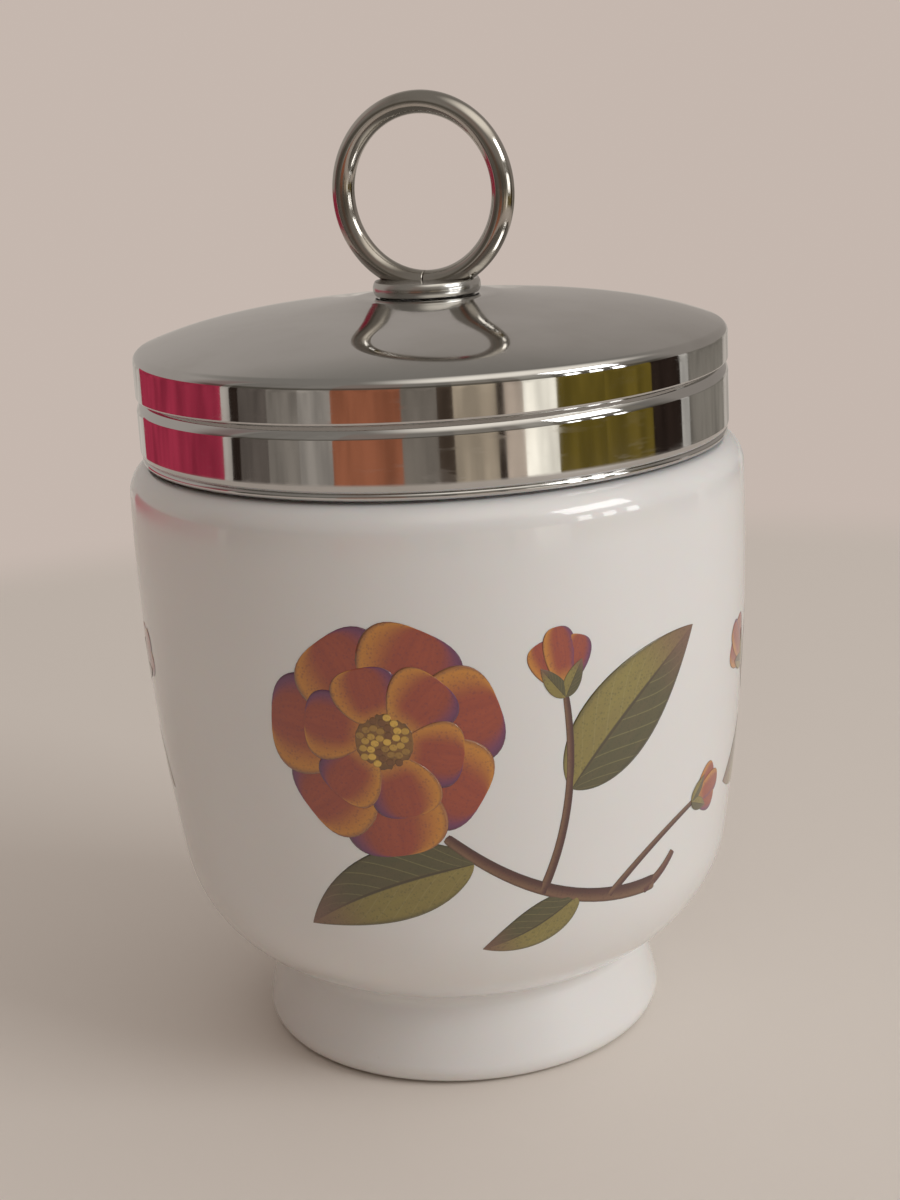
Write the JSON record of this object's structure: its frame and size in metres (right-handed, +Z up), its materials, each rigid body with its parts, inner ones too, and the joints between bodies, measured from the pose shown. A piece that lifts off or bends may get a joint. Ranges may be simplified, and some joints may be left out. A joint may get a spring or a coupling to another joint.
{
  "type": "egg coddler",
  "caption": "Lidded porcelain egg cup on a foot ring, with a threaded neck and a domed metal screw lid that carries an upright finger ring.",
  "frame": {"origin": "centre of the foot's contact ring, on the surface the cup stands on", "axes": "+Z up along the axis of the cup and the screw thread, +X in the plane of the finger ring, +Y through the ring's hole"},
  "size_m": [0.0604, 0.0604, 0.0936],
  "materials": {
    "porcelain": "clear glaze over white body, unglazed foot ring",
    "lid_chrome": "polished chrome plate on pressed sheet",
    "ring_chrome": "polished plate on bent wire",
    "stud_chrome": "polished plate on a turned stud",
    "washer_steel": "plain bright washer"
  },
  "bodies": {
    "cup": {"cup": "porcelain"},
    "washer": {"rivet_washer": "washer_steel"},
    "lid": {"lid_shell": "lid_chrome", "ring_stud": "stud_chrome", "lifting_ring": "ring_chrome"}
  },
  "joints": [
    {"name": "lid_lift", "type": "slide", "parent": "cup", "child": "washer", "axis": [0, 0, 1], "range_m": [0, 0.01102]},
    {"name": "lid_turn", "type": "hinge", "parent": "washer", "child": "lid", "pos_m": [0, 0, 0.0737], "axis": [0, 0, 1], "range_deg": [0, 1890]}
  ],
  "couplings": [
    {"joint": "lid_turn", "follows": "lid_lift", "rad_per_m": 2992}
  ]
}
